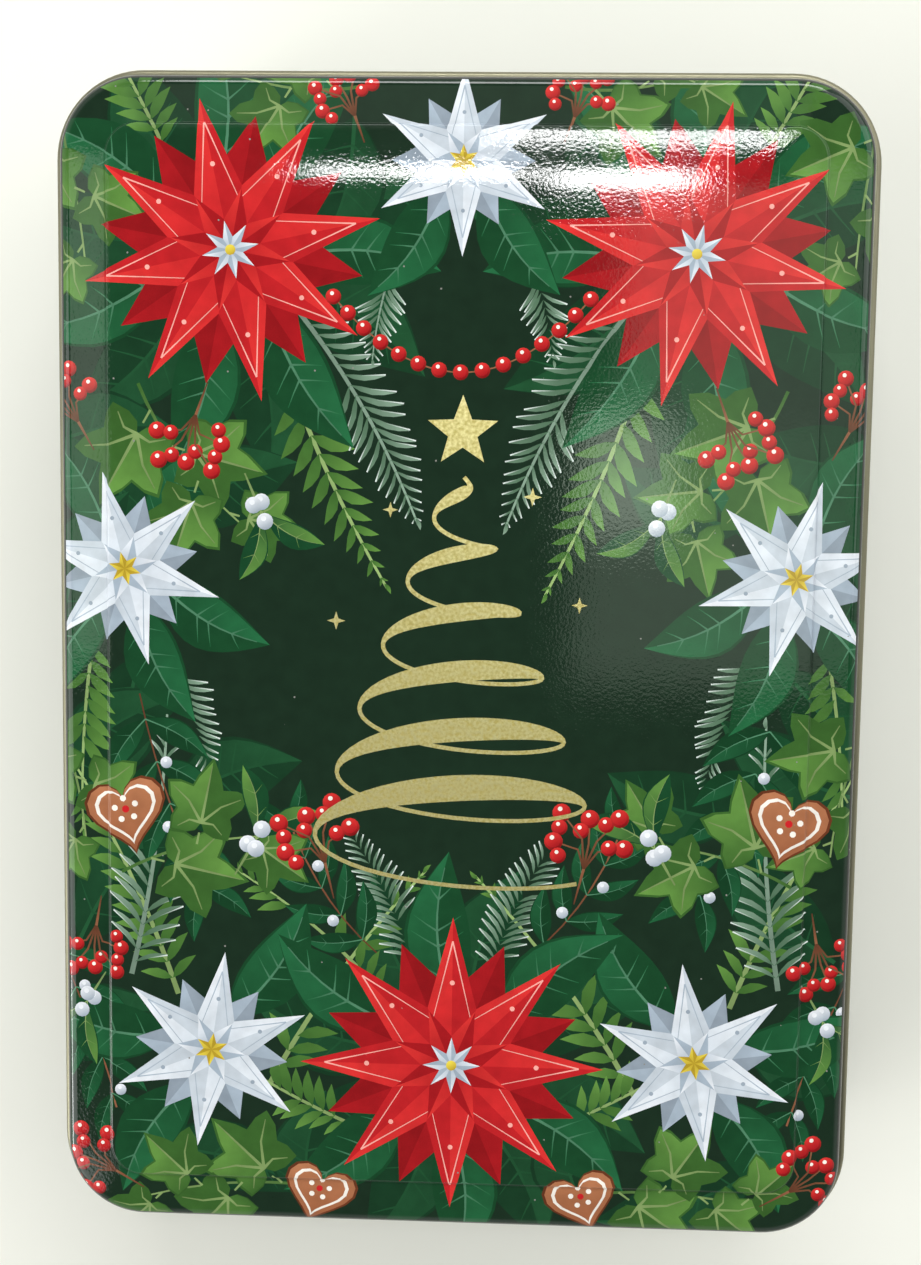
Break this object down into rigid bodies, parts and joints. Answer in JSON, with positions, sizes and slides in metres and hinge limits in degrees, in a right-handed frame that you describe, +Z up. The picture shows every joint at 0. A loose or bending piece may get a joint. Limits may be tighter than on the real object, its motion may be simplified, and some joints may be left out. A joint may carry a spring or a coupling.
{
  "type": "christmas cookie tin",
  "caption": "Rectangular pressed-metal cookie tin with rounded corners: a printed slip-on lid with a raised panel and rolled hem, a necked body and a seamed base.",
  "frame": {"origin": "centre of the footprint, on the surface that the bottom seam stands on", "axes": "+Z up out of the lid, +Y along the length towards the top of the lid's picture, +X along the width"},
  "size_m": [0.1688, 0.2438, 0.062],
  "materials": {
    "lid_print": "gloss varnish over print: dark green ground with red, white, leaf green, brown and gold fields",
    "wall_print": "gloss varnish over dark green print",
    "tinplate": "bare tinplate under a warm clear lacquer"
  },
  "bodies": {
    "tin": {"body_wall": "wall_print", "base_plate": "tinplate"},
    "lid": {"lid": "lid_print"}
  },
  "joints": [
    {"name": "lid_lift", "type": "slide", "parent": "tin", "child": "lid", "axis": [0, 0, 1], "range_m": [0, 0.06]}
  ]
}
